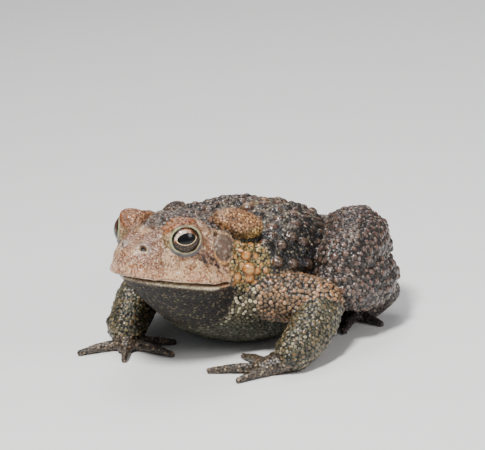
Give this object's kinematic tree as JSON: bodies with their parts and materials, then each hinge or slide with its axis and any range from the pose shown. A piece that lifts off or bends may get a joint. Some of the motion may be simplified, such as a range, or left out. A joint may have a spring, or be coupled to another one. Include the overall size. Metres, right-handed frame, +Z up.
{
  "type": "american toad",
  "caption": "Life-size still model of a sitting American toad with warty back, raised head and folded legs, resting flat on its belly, hands and feet.",
  "frame": {"origin": "on the ground under the middle of the toad's box", "axes": "+Z up, -Y the way the toad faces, +X its left side"},
  "size_m": [0.0698, 0.0742, 0.0379],
  "materials": {
    "back_skin": "warty, dry, satin",
    "head_skin": "fine grained, satin",
    "jaw_skin": "granular, satin",
    "gland_skin": "pitted, satin",
    "eardrum_skin": "smooth, satin",
    "limb_skin": "granular, satin",
    "eye": "wet gloss"
  },
  "bodies": {
    "root": {"torso": "back_skin", "head": "head_skin", "lower_jaw": "jaw_skin", "eye_left": "eye", "tympanum_left": "eardrum_skin", "parotoid_left": "gland_skin", "eye_right": "eye", "tympanum_right": "eardrum_skin", "parotoid_right": "gland_skin", "upper_arm_left": "limb_skin", "forearm_left": "limb_skin", "hand_left": "limb_skin", "finger_left_1": "limb_skin", "finger_left_2": "limb_skin", "finger_left_3": "limb_skin", "finger_left_4": "limb_skin", "thigh_left": "limb_skin", "shank_left": "limb_skin", "tarsus_left": "limb_skin", "foot_left": "limb_skin", "toe_left_1": "limb_skin", "toe_left_2": "limb_skin", "toe_left_3": "limb_skin", "toe_left_4": "limb_skin", "toe_left_5": "limb_skin", "upper_arm_right": "limb_skin", "forearm_right": "limb_skin", "hand_right": "limb_skin", "finger_right_1": "limb_skin", "finger_right_2": "limb_skin", "finger_right_3": "limb_skin", "finger_right_4": "limb_skin", "thigh_right": "limb_skin", "shank_right": "limb_skin", "tarsus_right": "limb_skin", "foot_right": "limb_skin", "toe_right_1": "limb_skin", "toe_right_2": "limb_skin", "toe_right_3": "limb_skin", "toe_right_4": "limb_skin", "toe_right_5": "limb_skin"}
  },
  "joints": []
}
